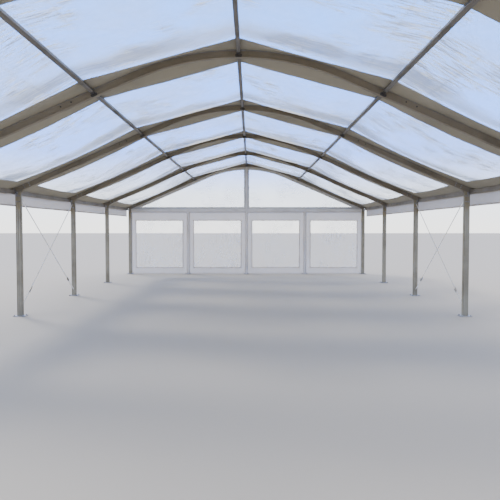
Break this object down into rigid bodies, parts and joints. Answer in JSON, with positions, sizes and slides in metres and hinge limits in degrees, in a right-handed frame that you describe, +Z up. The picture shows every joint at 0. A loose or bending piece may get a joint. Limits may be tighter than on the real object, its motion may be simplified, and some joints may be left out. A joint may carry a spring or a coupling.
{
  "type": "clear-roofed frame marquee",
  "caption": "Frame marquee with curved-crown aluminium frames, clear film roof, open front and sides, and a windowed rear gable wall.",
  "frame": {"origin": "on the ground, in the middle of the tent's length and width", "axes": "+X across the tent to the right seen from the open front, +Y along the ridge towards the rear gable wall, +Z up"},
  "size_m": [8.1372, 15.2, 3.7227],
  "materials": {
    "frame_aluminium": "dull mill-finish box profile",
    "purlin_aluminium": "weathered grey tube",
    "clear_film": "clear flexible film, slightly milky and creased",
    "border_fabric": "coated off-white tent fabric, matt",
    "white_fabric": "coated white tent fabric, matt",
    "steel": "galvanised bolts, plates and ratchets",
    "dark_steel": "dark brackets",
    "strap_webbing": "off-white polyester webbing"
  },
  "bodies": {
    "root": {"post_a_left": "frame_aluminium", "post_a_right": "frame_aluminium", "post_b_left": "frame_aluminium", "post_b_right": "frame_aluminium", "post_c_left": "frame_aluminium", "post_c_right": "frame_aluminium", "post_d_left": "frame_aluminium", "post_d_right": "frame_aluminium", "post_e_left": "frame_aluminium", "post_e_right": "frame_aluminium", "post_f_left": "frame_aluminium", "post_f_right": "frame_aluminium", "rafter_a": "frame_aluminium", "rafter_b": "frame_aluminium", "rafter_c": "frame_aluminium", "rafter_d": "frame_aluminium", "rafter_e": "frame_aluminium", "rafter_f": "frame_aluminium", "ridge_purlin_1": "purlin_aluminium", "ridge_purlin_2": "purlin_aluminium", "ridge_purlin_3": "purlin_aluminium", "ridge_purlin_4": "purlin_aluminium", "ridge_purlin_5": "purlin_aluminium", "side_purlin_left_1": "purlin_aluminium", "side_purlin_left_2": "purlin_aluminium", "side_purlin_left_3": "purlin_aluminium", "side_purlin_left_4": "purlin_aluminium", "side_purlin_left_5": "purlin_aluminium", "side_purlin_right_1": "purlin_aluminium", "side_purlin_right_2": "purlin_aluminium", "side_purlin_right_3": "purlin_aluminium", "side_purlin_right_4": "purlin_aluminium", "side_purlin_right_5": "purlin_aluminium", "roof_sheet_1": "clear_film", "roof_sheet_2": "clear_film", "roof_sheet_3": "clear_film", "roof_sheet_4": "clear_film", "roof_sheet_5": "clear_film", "eave_rail_left": "frame_aluminium", "eave_rail_right": "frame_aluminium", "valance_left": "white_fabric", "valance_right": "white_fabric", "gable_beam": "frame_aluminium", "king_post": "frame_aluminium", "gable_upright_left": "frame_aluminium", "gable_upright_right": "frame_aluminium", "gable_wall_outer_left": "white_fabric", "gable_wall_inner_left": "white_fabric", "gable_wall_inner_right": "white_fabric", "gable_wall_outer_right": "white_fabric", "gable_window_outer_left": "clear_film", "gable_window_inner_left": "clear_film", "gable_window_inner_right": "clear_film", "gable_window_outer_right": "clear_film", "gable_sheet": "clear_film", "brace_rising_left": "strap_webbing", "brace_falling_left": "strap_webbing", "brace_rising_right": "strap_webbing", "brace_falling_right": "strap_webbing"}
  },
  "joints": []
}
